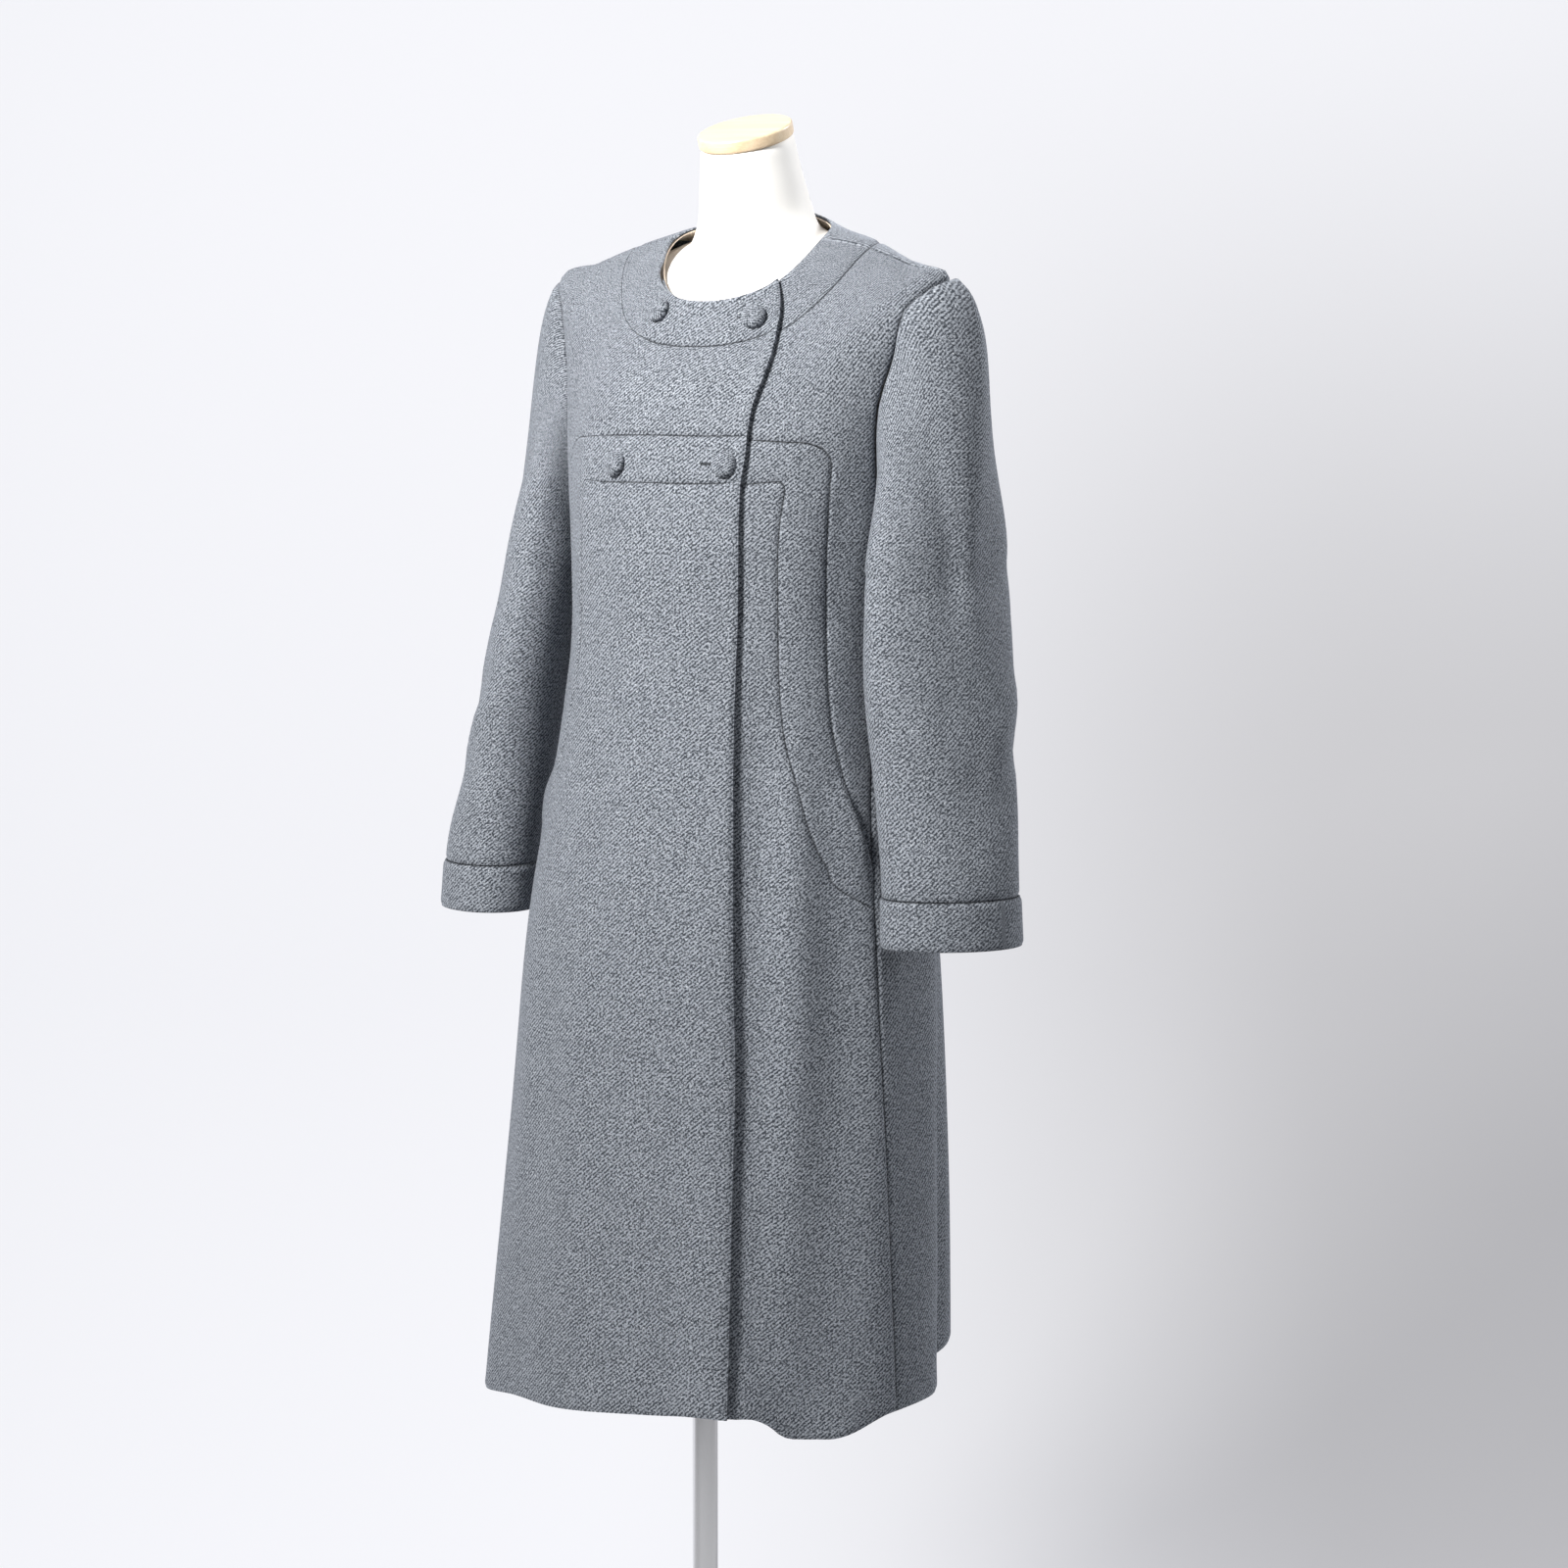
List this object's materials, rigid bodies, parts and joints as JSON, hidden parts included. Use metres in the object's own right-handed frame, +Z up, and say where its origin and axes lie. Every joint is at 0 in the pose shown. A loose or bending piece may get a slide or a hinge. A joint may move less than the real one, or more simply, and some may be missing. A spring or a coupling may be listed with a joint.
{
  "type": "collarless coat on dress form stand",
  "caption": "Collarless double-breasted wool coat with banded seams, curved hip pockets and cuffs, on a limbless torso form with a pole and a round base.",
  "frame": {"origin": "centre of the stand's base, on the floor", "axes": "+Z up along the pole, -Y out of the coat's front, +X to the wearer's left"},
  "size_m": [0.5858, 0.3758, 1.4758],
  "materials": {
    "wool": "mid-grey melange wool twill, slightly napped",
    "lining": "warm beige woven facing, smooth",
    "pocket_cloth": "the same wool in the pocket's shade",
    "button_cloth": "button covered in the coat's wool",
    "form_cover": "smooth matt white",
    "cap_wood": "light wood, satin lacquer, straight grain",
    "pole_chrome": "polished chrome",
    "base_chrome": null
  },
  "bodies": {
    "root": {"front_yoke_right": "wool", "front_yoke_left": "wool", "front_band_right": "wool", "front_band_left": "wool", "front_skirt_right": "wool", "front_skirt_left": "wool", "back": "wool", "neck_band_right": "wool", "neck_band_left": "wool", "neck_band_back": "wool", "neck_facing": "lining", "pocket_bag_right": "pocket_cloth", "pocket_bag_left": "pocket_cloth", "sleeve_top_right": "wool", "sleeve_top_left": "wool", "sleeve_under_right": "wool", "sleeve_under_left": "wool", "cuff_right": "wool", "cuff_left": "wool", "button_upper_right": "button_cloth", "button_upper_left": "button_cloth", "button_lower_right": "button_cloth", "button_lower_left": "button_cloth", "form_torso": "form_cover", "form_cap": "cap_wood", "stand_pole": "pole_chrome", "stand_base": "base_chrome"}
  },
  "joints": []
}
